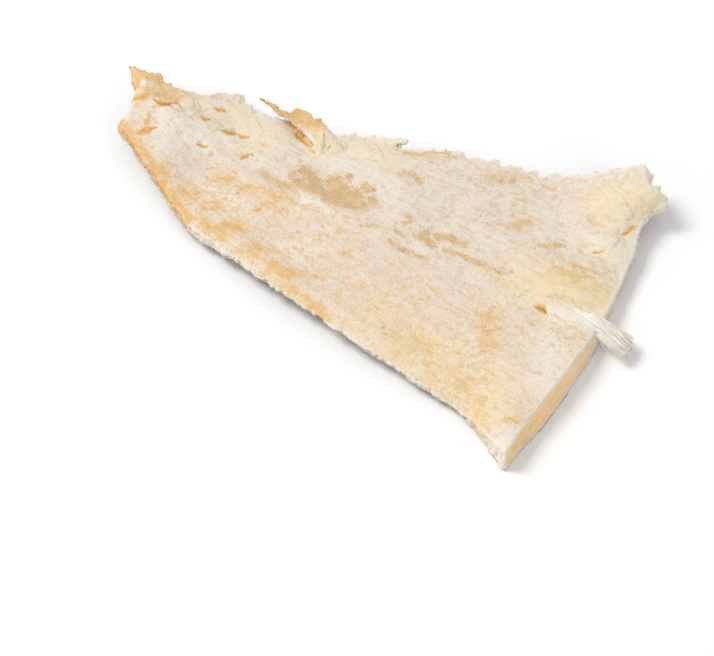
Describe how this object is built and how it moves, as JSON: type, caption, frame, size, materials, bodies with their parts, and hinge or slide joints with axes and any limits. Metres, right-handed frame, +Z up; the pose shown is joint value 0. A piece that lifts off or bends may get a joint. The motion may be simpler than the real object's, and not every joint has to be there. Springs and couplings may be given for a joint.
{
  "type": "piece of salted dried cod",
  "caption": "Thin three-cornered piece of salted dried cod: torn tip and back edge, straight knife-cut end, salt-frosted flesh above and grey-brown skin below.",
  "frame": {"origin": "under the middle of the piece's box, on the surface that it lies on", "axes": "+X along the piece from the torn tip to the straight cut end, +Y from the thin front edge to the ragged back edge, +Z up from the skin to the flesh"},
  "size_m": [0.2132, 0.13, 0.0155],
  "materials": {
    "salted_flesh": "dry, fibrous cream flesh frosted with fine salt, amber where the frost is thin",
    "salted_skin": "matt, wrinkled grey-brown skin mottled darker, with a crust of salt",
    "dry_fibres": "pale, frayed muscle fibres",
    "salt_grains": "cloudy white coarse salt"
  },
  "bodies": {
    "root": {"salt_cod_piece": "salted_flesh"}
  },
  "joints": []
}
